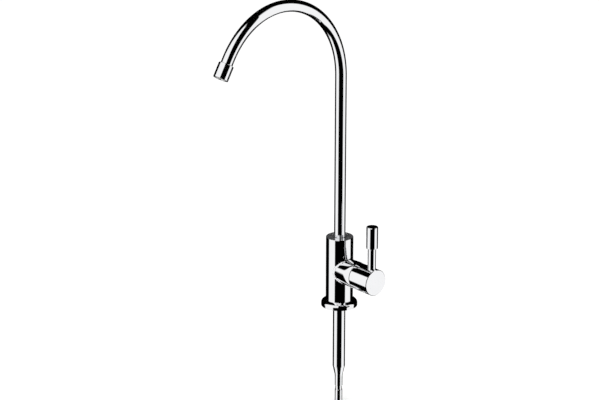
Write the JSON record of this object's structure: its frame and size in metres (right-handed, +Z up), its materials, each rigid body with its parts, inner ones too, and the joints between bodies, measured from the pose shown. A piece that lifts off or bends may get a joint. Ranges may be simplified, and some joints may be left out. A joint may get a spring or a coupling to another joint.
{
  "type": "drinking water faucet",
  "caption": "Deck drinking water faucet: swivelling gooseneck tube on a slim round body, side barrel valve with a quarter-turn lever, round flange, plain inlet shank.",
  "frame": {"origin": "on the shank's axis in the plane of the deck, which is the underside of the base flange", "axes": "+Z up along the body and spout riser; +X along the valve barrel, towards the knob's face; the spout reaches towards -Y, swivelled 5 degrees towards +X"},
  "size_m": [0.0633, 0.1585, 0.3776],
  "materials": {
    "chrome": "polished chrome plate",
    "brass": "machined",
    "steel": "machined stainless",
    "rubber": "moulded",
    "plastic": "moulded",
    "ceramic": "lapped"
  },
  "bodies": {
    "body": {"spout_thrust_washer": "plastic", "spout_retaining_bush": "chrome", "faucet_body": "chrome", "base_flange": "chrome", "base_gasket": "rubber", "shank": "chrome", "shank_seal": "rubber", "cartridge_housing": "brass", "cartridge_seat_seal": "rubber", "cartridge_land_seal": "rubber", "fixed_disc": "ceramic", "gland_nut": "brass"},
    "spout": {"spout_tube": "chrome", "outlet_sleeve": "chrome", "outlet_washer": "rubber", "outlet_insert": "plastic", "spout_ferrule": "brass", "spout_seal_lower": "rubber", "spout_seal_upper": "rubber"},
    "handle": {"knob": "chrome", "knob_grub_screw": "steel", "lever_stem": "chrome", "lever_grip": "chrome", "spindle": "brass", "spindle_seal_inner": "rubber", "spindle_seal_outer": "rubber", "spindle_clip": "steel", "moving_disc": "ceramic"}
  },
  "joints": [
    {"name": "spout_swivel", "type": "hinge", "parent": "body", "child": "spout", "pos_m": [0, 0, 0.064], "axis": [0, 0, 1], "continuous": true},
    {"name": "handle_turn", "type": "hinge", "parent": "body", "child": "handle", "pos_m": [0.0473, 0, 0.0342], "axis": [1, 0, 0], "range_deg": [0, 90]}
  ]
}
